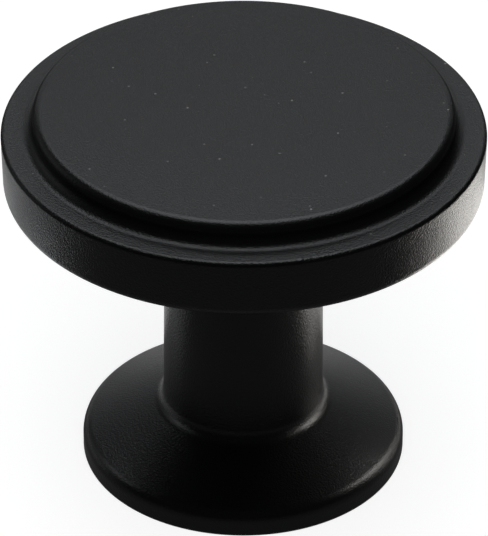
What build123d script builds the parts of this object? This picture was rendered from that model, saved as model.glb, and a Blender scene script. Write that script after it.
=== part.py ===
from build123d import *
import os
from math import radians, tan

# A round cabinet knob, cast in one piece and coated.
# The origin is the centre of the seat face, and +Z runs out along the stem to the head.

# Head: a thick disc with a raised round panel on its front
PROJECTION = 26.9
HEAD_DIAMETER = 32.0
RIM_HEIGHT = 4.16
RIM_DRAFT = 1.4
RIM_BACK_ROUND = 0.65
RIM_FRONT_ROUND = 0.3
LEDGE_WIDTH = 2.08
PANEL_HEIGHT = 1.55
PANEL_WALL_DRAFT = 0.5
PANEL_COVE = 0.75
PANEL_EDGE_ROUND = 0.62

# Stem: a slim post with a little draft, blended into the head and the foot
STEM_DIAMETER = 10.85
STEM_DRAFT = 0.6
STEM_HEAD_FILLET = 0.65
STEM_FOOT_FILLET = 1.05

# Foot: a low cone with a short upright edge that sits on the drawer front
FOOT_DIAMETER = 21.85
FOOT_EDGE_HEIGHT = 1.55
FOOT_SLOPE = 23.0
FOOT_EDGE_ROUND = 1.0

# Screw hole: drilled for an M4 thread, blind, with a chamfered mouth
TAP_DRILL_DIAMETER = 3.3
HOLE_DEPTH = 14.0
DRILL_POINT_ANGLE = 118.0
MOUTH_CHAMFER = 0.5


def run_at(height, degrees):
    """Sideways run of a line that leans by an angle from upright over a height."""
    return height * tan(radians(degrees))


# Heights of the head's levels above the seat
ledge_z = PROJECTION - PANEL_HEIGHT
head_back_z = ledge_z - RIM_HEIGHT

# Radii of the head's corners
head_radius = HEAD_DIAMETER / 2
rim_back_radius = head_radius - run_at(RIM_HEIGHT, RIM_DRAFT)
panel_foot_radius = head_radius - LEDGE_WIDTH
panel_radius = panel_foot_radius - run_at(PANEL_HEIGHT, PANEL_WALL_DRAFT)

# Corners of the stem and the foot
foot_radius = FOOT_DIAMETER / 2
stem_radius = STEM_DIAMETER / 2
foot_crown_z = FOOT_EDGE_HEIGHT + (foot_radius - stem_radius) * tan(radians(FOOT_SLOPE))
stem_head_radius = stem_radius - run_at(head_back_z - foot_crown_z, STEM_DRAFT)

# The half section's corners from the foot's upper edge to the panel's edge, each with the round it carries
corners = [
    ((foot_radius, FOOT_EDGE_HEIGHT), FOOT_EDGE_ROUND),
    ((stem_radius, foot_crown_z), STEM_FOOT_FILLET),
    ((stem_head_radius, head_back_z), STEM_HEAD_FILLET),
    ((rim_back_radius, head_back_z), RIM_BACK_ROUND),
    ((head_radius, ledge_z), RIM_FRONT_ROUND),
    ((panel_foot_radius, ledge_z), PANEL_COVE),
    ((panel_radius, PROJECTION), PANEL_EDGE_ROUND),
]
seat_centre = (0, 0)
seat_edge = (foot_radius, 0)
front_centre = (0, PROJECTION)

with BuildPart() as knob:
    # The body: the half section turned once round the stem's axis
    with BuildSketch(Plane.XZ):
        with BuildLine():
            Line(seat_centre, seat_edge)
            FilletPolyline(
                seat_edge,
                *[point for point, _ in corners],
                front_centre,
                radius=[corner_round for _, corner_round in corners],
            )
            Line(front_centre, seat_centre)
        make_face()
    revolve(axis=Axis.Z)

    # The screw hole: mouth chamfer, straight bore and drill point, cut in one turn
    tap_radius = TAP_DRILL_DIAMETER / 2
    drill_point_length = tap_radius / tan(radians(DRILL_POINT_ANGLE / 2))
    with BuildSketch(Plane.XZ):
        with BuildLine():
            Polyline(
                seat_centre,
                (tap_radius + MOUTH_CHAMFER, 0),
                (tap_radius, MOUTH_CHAMFER),
                (tap_radius, HOLE_DEPTH),
                (0, HOLE_DEPTH + drill_point_length),
                close=True,
            )
        make_face()
    revolve(axis=Axis.Z, mode=Mode.SUBTRACT)

os.makedirs("parts", exist_ok=True)
export_step(knob.part, "parts/knob.step")
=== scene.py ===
import math

import bmesh
import bpy
from mathutils import Matrix, Vector


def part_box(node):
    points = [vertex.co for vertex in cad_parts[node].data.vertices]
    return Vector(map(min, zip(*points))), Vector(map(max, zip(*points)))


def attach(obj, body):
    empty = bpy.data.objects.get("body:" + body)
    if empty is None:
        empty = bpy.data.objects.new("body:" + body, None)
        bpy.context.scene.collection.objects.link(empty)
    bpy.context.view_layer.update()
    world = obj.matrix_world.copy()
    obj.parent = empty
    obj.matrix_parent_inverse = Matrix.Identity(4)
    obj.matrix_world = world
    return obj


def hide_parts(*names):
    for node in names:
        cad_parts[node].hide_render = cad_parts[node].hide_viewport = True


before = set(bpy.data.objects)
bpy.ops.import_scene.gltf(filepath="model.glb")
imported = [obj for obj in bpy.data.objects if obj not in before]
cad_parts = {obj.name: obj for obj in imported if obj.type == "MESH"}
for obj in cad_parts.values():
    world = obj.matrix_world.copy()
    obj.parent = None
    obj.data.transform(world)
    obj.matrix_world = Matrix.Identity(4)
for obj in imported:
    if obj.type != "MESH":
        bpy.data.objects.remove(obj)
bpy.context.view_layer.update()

# The knob is one zinc casting: a disc head with a raised round panel, a slim stem and a low conical foot.
# It is round, so its half section is turned about the stem's axis. A matte black powder coat covers it,
# and the screw hole, drilled and tapped from the seat after coating, shows the bare alloy.
MM = 0.001
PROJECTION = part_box("knob")[1].z
HEAD_RADIUS = 16.0 * MM
RIM_HEIGHT = 4.16 * MM
RIM_DRAFT = math.radians(1.4)
RIM_BACK_ROUND = 0.65 * MM
RIM_FRONT_ROUND = 0.3 * MM
LEDGE_WIDTH = 2.08 * MM
PANEL_HEIGHT = 1.55 * MM
PANEL_WALL_DRAFT = math.radians(0.5)
PANEL_COVE = 0.75 * MM
PANEL_EDGE_ROUND = 0.62 * MM
STEM_RADIUS = 5.425 * MM
STEM_DRAFT = math.radians(0.6)
STEM_HEAD_FILLET = 0.65 * MM
STEM_FOOT_FILLET = 1.05 * MM
FOOT_RADIUS = 10.925 * MM
FOOT_EDGE_HEIGHT = 1.55 * MM
FOOT_SLOPE = math.radians(23.0)
FOOT_EDGE_ROUND = 1.0 * MM
SEAT_BORDER = 1.0 * MM
PANEL_RING_SHARES = (0.3, 0.6, 0.85)
TAP_DRILL_RADIUS = 1.65 * MM
THREAD_ROOT_RADIUS = 2.0 * MM
THREAD_PITCH = 0.7 * MM
THREAD_LENGTH = 11.5 * MM
THREAD_CREST_SHARE = 1 / 4
THREAD_ROOT_SHARE = 1 / 8
HOLE_DEPTH = 14.0 * MM
DRILL_POINT_HALF_ANGLE = math.radians(59)
MOUTH_CHAMFER = 0.5 * MM
ARC_STEPS = 14
EDGE_HOLD = 0.05 * MM
MOST_HOLD_SHARE = 1 / 4
TURN_STEPS = 216
THREAD_TURN_STEPS = 72
THREAD_ROWS_PER_PITCH = 12
SHARP_EDGE_ANGLE = math.radians(28)

ledge_z = PROJECTION - PANEL_HEIGHT
head_back_z = ledge_z - RIM_HEIGHT
panel_foot_radius = HEAD_RADIUS - LEDGE_WIDTH
panel_radius = panel_foot_radius - PANEL_HEIGHT * math.tan(PANEL_WALL_DRAFT)
rim_back_radius = HEAD_RADIUS - RIM_HEIGHT * math.tan(RIM_DRAFT)
foot_crown_z = FOOT_EDGE_HEIGHT + (FOOT_RADIUS - STEM_RADIUS) * math.tan(FOOT_SLOPE)
stem_head_radius = STEM_RADIUS - (head_back_z - foot_crown_z) * math.tan(STEM_DRAFT)
section_corners = [
    (Vector((FOOT_RADIUS, FOOT_EDGE_HEIGHT)), FOOT_EDGE_ROUND),
    (Vector((STEM_RADIUS, foot_crown_z)), STEM_FOOT_FILLET),
    (Vector((stem_head_radius, head_back_z)), STEM_HEAD_FILLET),
    (Vector((rim_back_radius, head_back_z)), RIM_BACK_ROUND),
    (Vector((HEAD_RADIUS, ledge_z)), RIM_FRONT_ROUND),
    (Vector((panel_foot_radius, ledge_z)), PANEL_COVE),
    (Vector((panel_radius, PROJECTION)), PANEL_EDGE_ROUND),
]


def straight_run(start, end):
    """Points that hold a straight run flat right up to the arcs at its two ends."""
    hold = min(MOST_HOLD_SHARE, EDGE_HOLD / (end - start).length)
    return [start, start.lerp(end, hold), start.lerp(end, 1 - hold)]


def rounded_section(start, corners, end):
    """A half section of straight runs joined by tangent arcs, as points of radius and height."""
    stops = [start] + [corner for corner, _ in corners] + [end]
    points = []
    run_start = start
    for before, (corner, rounding), after in zip(stops, corners, stops[2:]):
        back = (before - corner).normalized()
        onward = (after - corner).normalized()
        half_angle = back.angle(onward) / 2
        centre = corner + (back + onward).normalized() * rounding / math.sin(half_angle)
        spoke = corner + back * rounding / math.tan(half_angle) - centre
        sweep = math.copysign(math.pi - 2 * half_angle, onward.cross(back))
        arc = [centre + Matrix.Rotation(sweep * i / ARC_STEPS, 2) @ spoke for i in range(ARC_STEPS + 1)]
        points += straight_run(run_start, arc[0]) + arc[:-1]
        run_start = arc[-1]
    return points + straight_run(run_start, end)[:2]


def ring(mesh, steps, place):
    """One turn of vertices, where place gives radius and height for each share of the turn."""
    vertices = []
    for i in range(steps):
        radius, height = place(i / steps)
        angle = math.tau * i / steps
        vertices.append(mesh.verts.new((radius * math.cos(angle), radius * math.sin(angle), height)))
    return vertices


def skin(mesh, rings, finish):
    """Quads from each ring to the next, in one finish."""
    for lower, upper in zip(rings, rings[1:]):
        for i in range(len(lower)):
            face = mesh.faces.new((lower[i - 1], lower[i], upper[i], upper[i - 1]))
            face.material_index = finish


def close_at_axis(mesh, last_ring, height, finish):
    """A fan of triangles from the last ring to a point on the stem's axis."""
    point = mesh.verts.new((0, 0, height))
    for i in range(len(last_ring)):
        mesh.faces.new((last_ring[i - 1], last_ring[i], point)).material_index = finish


def share(value):
    """A value kept between 0 and 1."""
    return min(1.0, max(0.0, value))


def hole_radius(turn, depth):
    """Radius of the tapped hole: a V groove along a right-hand helix, which runs out at its inner end."""
    # From 0 in the middle of the groove to 1 in the middle of the crest
    off_groove = abs((depth / THREAD_PITCH - turn) % 1 - 0.5) * 2
    flank = 1 - THREAD_CREST_SHARE - THREAD_ROOT_SHARE
    groove = share((1 - THREAD_CREST_SHARE - off_groove) / flank)
    run_out = share((THREAD_LENGTH - depth) / THREAD_PITCH)
    threaded = TAP_DRILL_RADIUS + (THREAD_ROOT_RADIUS - TAP_DRILL_RADIUS) * groove * run_out
    return max(threaded, TAP_DRILL_RADIUS + MOUTH_CHAMFER - depth)


COAT, BARE = 0, 1
knob_mesh = bmesh.new()
seat_edge = Vector((FOOT_RADIUS, 0))
front_centre = Vector((0, PROJECTION))
section = rounded_section(seat_edge, section_corners, front_centre)
seat_border = Vector((FOOT_RADIUS - SEAT_BORDER, 0))
panel_rings = [section[-1].lerp(front_centre, inward) for inward in PANEL_RING_SHARES]
outer_rings = [
    ring(knob_mesh, TURN_STEPS, lambda turn, point=point: point)
    for point in [seat_border] + section + panel_rings
]
skin(knob_mesh, outer_rings, COAT)
close_at_axis(knob_mesh, outer_rings[-1], PROJECTION, COAT)

thread_rows = round(HOLE_DEPTH / THREAD_PITCH * THREAD_ROWS_PER_PITCH)
hole_rings = [
    ring(knob_mesh, THREAD_TURN_STEPS, lambda turn, depth=depth: (hole_radius(turn, depth), depth))
    for depth in [HOLE_DEPTH * row / thread_rows for row in range(thread_rows + 1)]
]
skin(knob_mesh, hole_rings, BARE)
drill_point_z = HOLE_DEPTH + TAP_DRILL_RADIUS / math.tan(DRILL_POINT_HALF_ANGLE)
close_at_axis(knob_mesh, hole_rings[-1], drill_point_z, BARE)

# The flat seat joins the coarser turn of the hole to the finer turn of the foot
per_step = TURN_STEPS // THREAD_TURN_STEPS
for i in range(THREAD_TURN_STEPS):
    outer = [outer_rings[0][(i * per_step + k) % TURN_STEPS] for k in range(per_step + 1)]
    knob_mesh.faces.new([hole_rings[0][i], *outer, hole_rings[0][(i + 1) % THREAD_TURN_STEPS]])

bmesh.ops.recalc_face_normals(knob_mesh, faces=knob_mesh.faces)
for face in knob_mesh.faces:
    face.smooth = True
knob_data = bpy.data.meshes.new("coated_knob")
knob_mesh.to_mesh(knob_data)
knob_mesh.free()
knob_data.set_sharp_from_angle(angle=SHARP_EDGE_ANGLE)
knob = bpy.data.objects.new("coated_knob", knob_data)
bpy.context.collection.objects.link(knob)


def new_material(name):
    """A material with its node tree, its shader and the place of each point on the piece."""
    material = bpy.data.materials.new(name)
    material.use_nodes = True
    tree = material.node_tree
    place = tree.nodes.new("ShaderNodeTexCoord").outputs["Object"]
    return material, tree, tree.nodes["Principled BSDF"], place


def lumps(tree, place, per_metre, detail):
    """Cloudy noise over the surface, with so many lumps to the metre."""
    texture = tree.nodes.new("ShaderNodeTexNoise")
    texture.inputs["Scale"].default_value = per_metre
    texture.inputs["Detail"].default_value = detail
    tree.links.new(place, texture.inputs["Vector"])
    return texture.outputs["Fac"]


def bump(tree, height, depth):
    """A bump of the given depth, from a height between 0 and 1."""
    node = tree.nodes.new("ShaderNodeBump")
    node.inputs["Strength"].default_value = 1.0
    node.inputs["Distance"].default_value = depth
    tree.links.new(height, node.inputs["Height"])
    return node


def combine(tree, operation, first, second):
    """One step of arithmetic over the surface, where each side is a socket or a plain number."""
    node = tree.nodes.new("ShaderNodeMath")
    node.operation = operation
    for socket, value in zip(node.inputs, (first, second)):
        if isinstance(value, bpy.types.NodeSocket):
            tree.links.new(value, socket)
        else:
            socket.default_value = value
    return node.outputs["Value"]


def by_distance(tree, place, near, far, near_value, far_value):
    """A value that changes evenly between two distances from the stem's axis."""
    without_height = (1, 1, 0)
    across = tree.nodes.new("ShaderNodeVectorMath")
    across.operation = "MULTIPLY"
    across.inputs[1].default_value = without_height
    tree.links.new(place, across.inputs[0])
    distance = tree.nodes.new("ShaderNodeVectorMath")
    distance.operation = "LENGTH"
    tree.links.new(across.outputs["Vector"], distance.inputs[0])
    change = tree.nodes.new("ShaderNodeMapRange")
    change.inputs["From Min"].default_value = near
    change.inputs["From Max"].default_value = far
    change.inputs["To Min"].default_value = near_value
    change.inputs["To Max"].default_value = far_value
    tree.links.new(distance.outputs["Value"], change.inputs["Value"])
    return change.outputs["Result"]


# Uneven sheen, which the coat and the bare alloy share: the roughness varies from patch to patch
SHEEN_DETAIL = 3
uneven_sheen = bpy.data.node_groups.new("uneven_sheen", "ShaderNodeTree")
uneven_sheen.interface.new_socket("Place", in_out="INPUT", socket_type="NodeSocketVector")
for sheen_value in ("Patches per metre", "Smoothest", "Roughest"):
    uneven_sheen.interface.new_socket(sheen_value, in_out="INPUT", socket_type="NodeSocketFloat")
uneven_sheen.interface.new_socket("Roughness", in_out="OUTPUT", socket_type="NodeSocketFloat")
sheen_in = uneven_sheen.nodes.new("NodeGroupInput")
sheen_out = uneven_sheen.nodes.new("NodeGroupOutput")
patches = uneven_sheen.nodes.new("ShaderNodeTexNoise")
patches.inputs["Detail"].default_value = SHEEN_DETAIL
spread = uneven_sheen.nodes.new("ShaderNodeMapRange")
for source, target in (
    (sheen_in.outputs["Place"], patches.inputs["Vector"]),
    (sheen_in.outputs["Patches per metre"], patches.inputs["Scale"]),
    (patches.outputs["Fac"], spread.inputs["Value"]),
    (sheen_in.outputs["Smoothest"], spread.inputs["To Min"]),
    (sheen_in.outputs["Roughest"], spread.inputs["To Max"]),
    (spread.outputs["Result"], sheen_out.inputs["Roughness"]),
):
    uneven_sheen.links.new(source, target)


def add_uneven_sheen(tree, shader, place, patches_per_metre, smoothest, roughest):
    """Puts the uneven sheen on a shader with its own values."""
    node = tree.nodes.new("ShaderNodeGroup")
    node.node_tree = uneven_sheen
    node.inputs["Patches per metre"].default_value = patches_per_metre
    node.inputs["Smoothest"].default_value = smoothest
    node.inputs["Roughest"].default_value = roughest
    tree.links.new(place, node.inputs["Place"])
    tree.links.new(node.outputs["Roughness"], shader.inputs["Roughness"])


# The powder coat: a fine grain on a slow ripple, with an uneven sheen.
# The grain is deepest on the rim, because powder gathers most on the outermost edge.
COAT_COLOUR = (0.0016, 0.0017, 0.0018, 1)
COAT_IOR = 1.5
GRAIN_PER_METRE = 8000
RIM_GRAIN_DEPTH = 0.044 * MM
FINE_GRAIN_SHARE = 0.62
FINE_GRAIN_WITHIN = 14.5 * MM
RIM_GRAIN_FROM = 15.9 * MM
RIPPLE_PER_METRE = 900
RIPPLE_DEPTH = 0.002 * MM

coat, coat_tree, coat_shader, coat_place = new_material("matte_black_coat")
coat_shader.inputs["IOR"].default_value = COAT_IOR
ripple = bump(coat_tree, lumps(coat_tree, coat_place, RIPPLE_PER_METRE, detail=1), RIPPLE_DEPTH)
grain = bump(coat_tree, lumps(coat_tree, coat_place, GRAIN_PER_METRE, detail=2), RIM_GRAIN_DEPTH)
coat_tree.links.new(ripple.outputs["Normal"], grain.inputs["Normal"])
grain_share = by_distance(
    coat_tree,
    coat_place,
    near=FINE_GRAIN_WITHIN,
    far=RIM_GRAIN_FROM,
    near_value=FINE_GRAIN_SHARE,
    far_value=1.0,
)
coat_tree.links.new(grain_share, grain.inputs["Strength"])
coat_tree.links.new(grain.outputs["Normal"], coat_shader.inputs["Normal"])
add_uneven_sheen(coat_tree, coat_shader, coat_place, patches_per_metre=300, smoothest=0.25, roughest=0.35)

# Specks of dust lie on the faces that look straight up, some paler than others
SPECK_COLOUR = (0.2, 0.198, 0.192, 1)
SPECKS_PER_METRE = 1000
SPECK_REACH = 0.08
SPECK_SHARE = 0.6
LOOKS_UP_FROM = 0.95

cells = coat_tree.nodes.new("ShaderNodeTexVoronoi")
cells.inputs["Scale"].default_value = SPECKS_PER_METRE
coat_tree.links.new(coat_place, cells.inputs["Vector"])
draws = coat_tree.nodes.new("ShaderNodeSeparateColor")
coat_tree.links.new(cells.outputs["Color"], draws.inputs["Color"])
surface = coat_tree.nodes.new("ShaderNodeNewGeometry")
facing = coat_tree.nodes.new("ShaderNodeSeparateXYZ")
coat_tree.links.new(surface.outputs["Normal"], facing.inputs["Vector"])
near_speck = combine(coat_tree, "LESS_THAN", cells.outputs["Distance"], SPECK_REACH)
drawn = combine(coat_tree, "LESS_THAN", draws.outputs["Red"], SPECK_SHARE)
looks_up = combine(coat_tree, "GREATER_THAN", facing.outputs["Z"], LOOKS_UP_FROM)
speck = combine(coat_tree, "MULTIPLY", near_speck, drawn)
lying_speck = combine(coat_tree, "MULTIPLY", speck, looks_up)
paleness = combine(coat_tree, "MULTIPLY", lying_speck, draws.outputs["Green"])
dusted = coat_tree.nodes.new("ShaderNodeMix")
dusted.data_type = "RGBA"
dusted.inputs["A"].default_value = COAT_COLOUR
dusted.inputs["B"].default_value = SPECK_COLOUR
coat_tree.links.new(paleness, dusted.inputs["Factor"])
coat_tree.links.new(dusted.outputs["Result"], coat_shader.inputs["Base Color"])

# The bare alloy in the hole: cut marks run round it, so their noise is squeezed along the axis
ALLOY_COLOUR = (0.52, 0.52, 0.53, 1)
CUT_MARKS_ROUND_PER_METRE = 400
CUT_MARKS_ALONG_PER_METRE = 9000
CUT_MARK_DEPTH = 0.004 * MM

bare, bare_tree, bare_shader, bare_place = new_material("bare_alloy")
bare_shader.inputs["Base Color"].default_value = ALLOY_COLOUR
bare_shader.inputs["Metallic"].default_value = 1.0
squeeze = bare_tree.nodes.new("ShaderNodeMapping")
squeeze.inputs["Scale"].default_value = (
    CUT_MARKS_ROUND_PER_METRE,
    CUT_MARKS_ROUND_PER_METRE,
    CUT_MARKS_ALONG_PER_METRE,
)
bare_tree.links.new(bare_place, squeeze.inputs["Vector"])
squeezed_lumps = lumps(bare_tree, squeeze.outputs["Vector"], per_metre=1, detail=2)
cut_marks = bump(bare_tree, squeezed_lumps, CUT_MARK_DEPTH)
bare_tree.links.new(cut_marks.outputs["Normal"], bare_shader.inputs["Normal"])
add_uneven_sheen(bare_tree, bare_shader, bare_place, patches_per_metre=1500, smoothest=0.26, roughest=0.46)

knob_data.materials.append(coat)
knob_data.materials.append(bare)
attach(knob, "root")
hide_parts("knob")

# The table is a pale matt sheet that the knob stands on. It glows to the camera, in mirrors and through
# glass, so it reads as white and still takes the knob's shadow.
TABLE_HALF_SIDE = 4.0
TABLE_DROP = 0.02 * MM
TABLE_COLOUR = (0.42, 0.42, 0.42, 1)
TABLE_GLOW = 0.78


def flat_sheet(name, half_side, height):
    """A square sheet that lies level."""
    mesh = bmesh.new()
    level = Matrix.Translation((0, 0, height))
    bmesh.ops.create_grid(mesh, x_segments=1, y_segments=1, size=half_side, matrix=level)
    data = bpy.data.meshes.new(name)
    mesh.to_mesh(data)
    mesh.free()
    sheet = bpy.data.objects.new(name, data)
    bpy.context.collection.objects.link(sheet)
    return sheet


table = flat_sheet("table", TABLE_HALF_SIDE, -TABLE_DROP)
pale_sheet = bpy.data.materials.new("pale_sheet")
pale_sheet.use_nodes = True
table_tree = pale_sheet.node_tree
table_tree.nodes.remove(table_tree.nodes["Principled BSDF"])
matt = table_tree.nodes.new("ShaderNodeBsdfDiffuse")
matt.inputs["Color"].default_value = TABLE_COLOUR
rays = table_tree.nodes.new("ShaderNodeLightPath").outputs
mirrored_or_through = combine(table_tree, "ADD", rays["Is Glossy Ray"], rays["Is Transmission Ray"])
shows = combine(table_tree, "ADD", rays["Is Camera Ray"], mirrored_or_through)
glow = table_tree.nodes.new("ShaderNodeEmission")
table_tree.links.new(combine(table_tree, "MULTIPLY", shows, TABLE_GLOW), glow.inputs["Strength"])
glowing_sheet = table_tree.nodes.new("ShaderNodeAddShader")
table_tree.links.new(matt.outputs["BSDF"], glowing_sheet.inputs[0])
table_tree.links.new(glow.outputs["Emission"], glowing_sheet.inputs[1])
table_tree.links.new(glowing_sheet.outputs["Shader"], table_tree.nodes["Material Output"].inputs["Surface"])
table.data.materials.append(pale_sheet)

# The studio is dim, with a broad soft lamp overhead and a fill lamp that leaves no mirror image.
# Reflectors stand or lie round the knob on a dark card, and these show only in the gloss of its coat.
WORLD_LEVEL = 0.02
KNOB_CENTRE = Vector((0, 0, PROJECTION / 2))
BLACK = (0, 0, 0)
WHITE = (1, 1, 1)
WARM = (1, 0.97, 0.92)
COOL = (0.94, 0.97, 1)

world = bpy.data.worlds.new("studio")
world.use_nodes = True
surroundings = world.node_tree.nodes["Background"]
surroundings.inputs["Color"].default_value = (*WHITE, 1)
surroundings.inputs["Strength"].default_value = WORLD_LEVEL
bpy.context.scene.world = world


def soft_lamp(name, place, aim, size, level, colour=WHITE, mirrored=True, lights=True):
    """A rectangular soft lamp whose face has the given level, where 1 is white."""
    width, height = size
    lamp_data = bpy.data.lights.new(name, "AREA")
    lamp_data.shape = "RECTANGLE"
    lamp_data.size = width
    lamp_data.size_y = height
    lamp_data.color = colour
    lamp_data.energy = level * math.pi * width * height
    lamp = bpy.data.objects.new(name, lamp_data)
    lamp.location = place
    lamp.rotation_euler = (aim - place).to_track_quat("-Z", "Y").to_euler()
    lamp.visible_camera = False
    lamp.visible_glossy = mirrored
    lamp.visible_diffuse = lights
    bpy.context.collection.objects.link(lamp)


soft_lamp(
    "overhead_lamp",
    place=Vector((-0.01, 0.2, 0.5)),
    aim=KNOB_CENTRE,
    size=(0.44, 0.46),
    level=1.82,
    colour=COOL,
)
soft_lamp(
    "fill_lamp",
    place=Vector((0, -0.35, 0.55)),
    aim=KNOB_CENTRE,
    size=(0.6, 0.6),
    level=2.05,
    mirrored=False,
)

# The dark card covers nearly all of the table and glows faintly, only in gloss: a painted reflection,
# darker away from the knob
CARD_HALF_SIDE = 3.9
CARD_LIFT = 0.05 * MM
CARD_NEAR_LEVEL = 0.1
CARD_FAR_LEVEL = 0.015
CARD_NEAR_WITHIN = 60 * MM
CARD_FAR_FROM = 110 * MM

card = flat_sheet("dark_card", CARD_HALF_SIDE, CARD_LIFT)
dark_card, card_tree, card_shader, card_place = new_material("dark_card")
card_shader.inputs["Base Color"].default_value = (*BLACK, 1)
card_shader.inputs["Specular IOR Level"].default_value = 0.0
card_shader.inputs["Emission Color"].default_value = (*WHITE, 1)
painted_reflection_level = by_distance(
    card_tree,
    card_place,
    near=CARD_NEAR_WITHIN,
    far=CARD_FAR_FROM,
    near_value=CARD_NEAR_LEVEL,
    far_value=CARD_FAR_LEVEL,
)
# The card's glow is a painted reflection of a dim table, not a lamp
card_tree.links.new(painted_reflection_level, card_shader.inputs["Emission Strength"])
card.data.materials.append(dark_card)
card.visible_camera = False
card.visible_diffuse = False
card.visible_transmission = False
card.visible_shadow = False

# The reflectors: warm ones on the knob's right, cool ones on its left, and three straight behind it
REFLECTOR_CLEARANCE = 0.2 * MM


def reflector(name, colour, level, size, bearing, reach, lift=None):
    """A reflector at a bearing in degrees, from straight behind the knob round to its right.

    With a lift it stands that far above the card and faces the stem. Without one it lies flat.
    """
    _, height = size
    angle = math.radians(bearing)
    lying = lift is None
    rise = REFLECTOR_CLEARANCE if lying else REFLECTOR_CLEARANCE + lift + height / 2
    place = Vector((reach * math.sin(angle), reach * math.cos(angle), rise))
    aim = place + Vector((0, 0, 1)) if lying else Vector((0, 0, rise))
    soft_lamp(name, place, aim, size, level, colour, lights=False)


reflector("right_flat", WARM, level=1.85, size=(32 * MM, 30 * MM), bearing=67, reach=38 * MM)
reflector("right_near", WARM, level=2.2, size=(13 * MM, 10 * MM), bearing=80, reach=28 * MM, lift=5 * MM)
reflector(
    "right_by_foot", WARM, level=6.8, size=(6 * MM, 5 * MM), bearing=97, reach=18.5 * MM, lift=7.5 * MM
)
reflector("left_flat", COOL, level=0.38, size=(50 * MM, 30 * MM), bearing=-72, reach=45 * MM)
reflector("left_upright", COOL, level=0.19, size=(0.2, 0.2), bearing=-65, reach=0.3, lift=0)
reflector(
    "left_by_foot", COOL, level=1.1, size=(7 * MM, 6 * MM), bearing=-96, reach=20.3 * MM, lift=8.5 * MM
)
reflector("back_flat", WHITE, level=0.6, size=(64 * MM, 24 * MM), bearing=0, reach=24 * MM)
reflector("back_low", WHITE, level=0.1, size=(0.36, 0.14), bearing=0, reach=0.4, lift=0)
reflector("back_high", COOL, level=0.27, size=(0.7, 0.5), bearing=0, reach=0.5, lift=0)

# The camera stands a good way off in front of the knob and looks down on its head through a long lens.
# The picture is shown plainly, with no curve over its colours.
CAMERA_DISTANCE = 342.87 * MM
CAMERA_RISE = math.radians(34.3155)
CAMERA_AIM = Vector((0.03 * MM, 0, 14.171 * MM))
CAMERA_LENS = 343.96
CAMERA_SENSOR = 36
CAMERA_ROLL = math.radians(0.137)
NEAREST_SEEN = 10 * MM
FARTHEST_SEEN = 10

camera_data = bpy.data.cameras.new("camera")
camera_data.lens = CAMERA_LENS
camera_data.sensor_width = CAMERA_SENSOR
camera_data.clip_start = NEAREST_SEEN
camera_data.clip_end = FARTHEST_SEEN
camera = bpy.data.objects.new("camera", camera_data)
to_camera = Vector((0, -math.cos(CAMERA_RISE), math.sin(CAMERA_RISE)))
camera.location = CAMERA_AIM + to_camera * CAMERA_DISTANCE
looking = (-to_camera).to_track_quat("-Z", "Y").to_matrix()
camera.rotation_euler = (looking @ Matrix.Rotation(CAMERA_ROLL, 3, "Z")).to_euler()
bpy.context.collection.objects.link(camera)
bpy.context.scene.camera = camera
bpy.context.scene.view_settings.view_transform = "Standard"
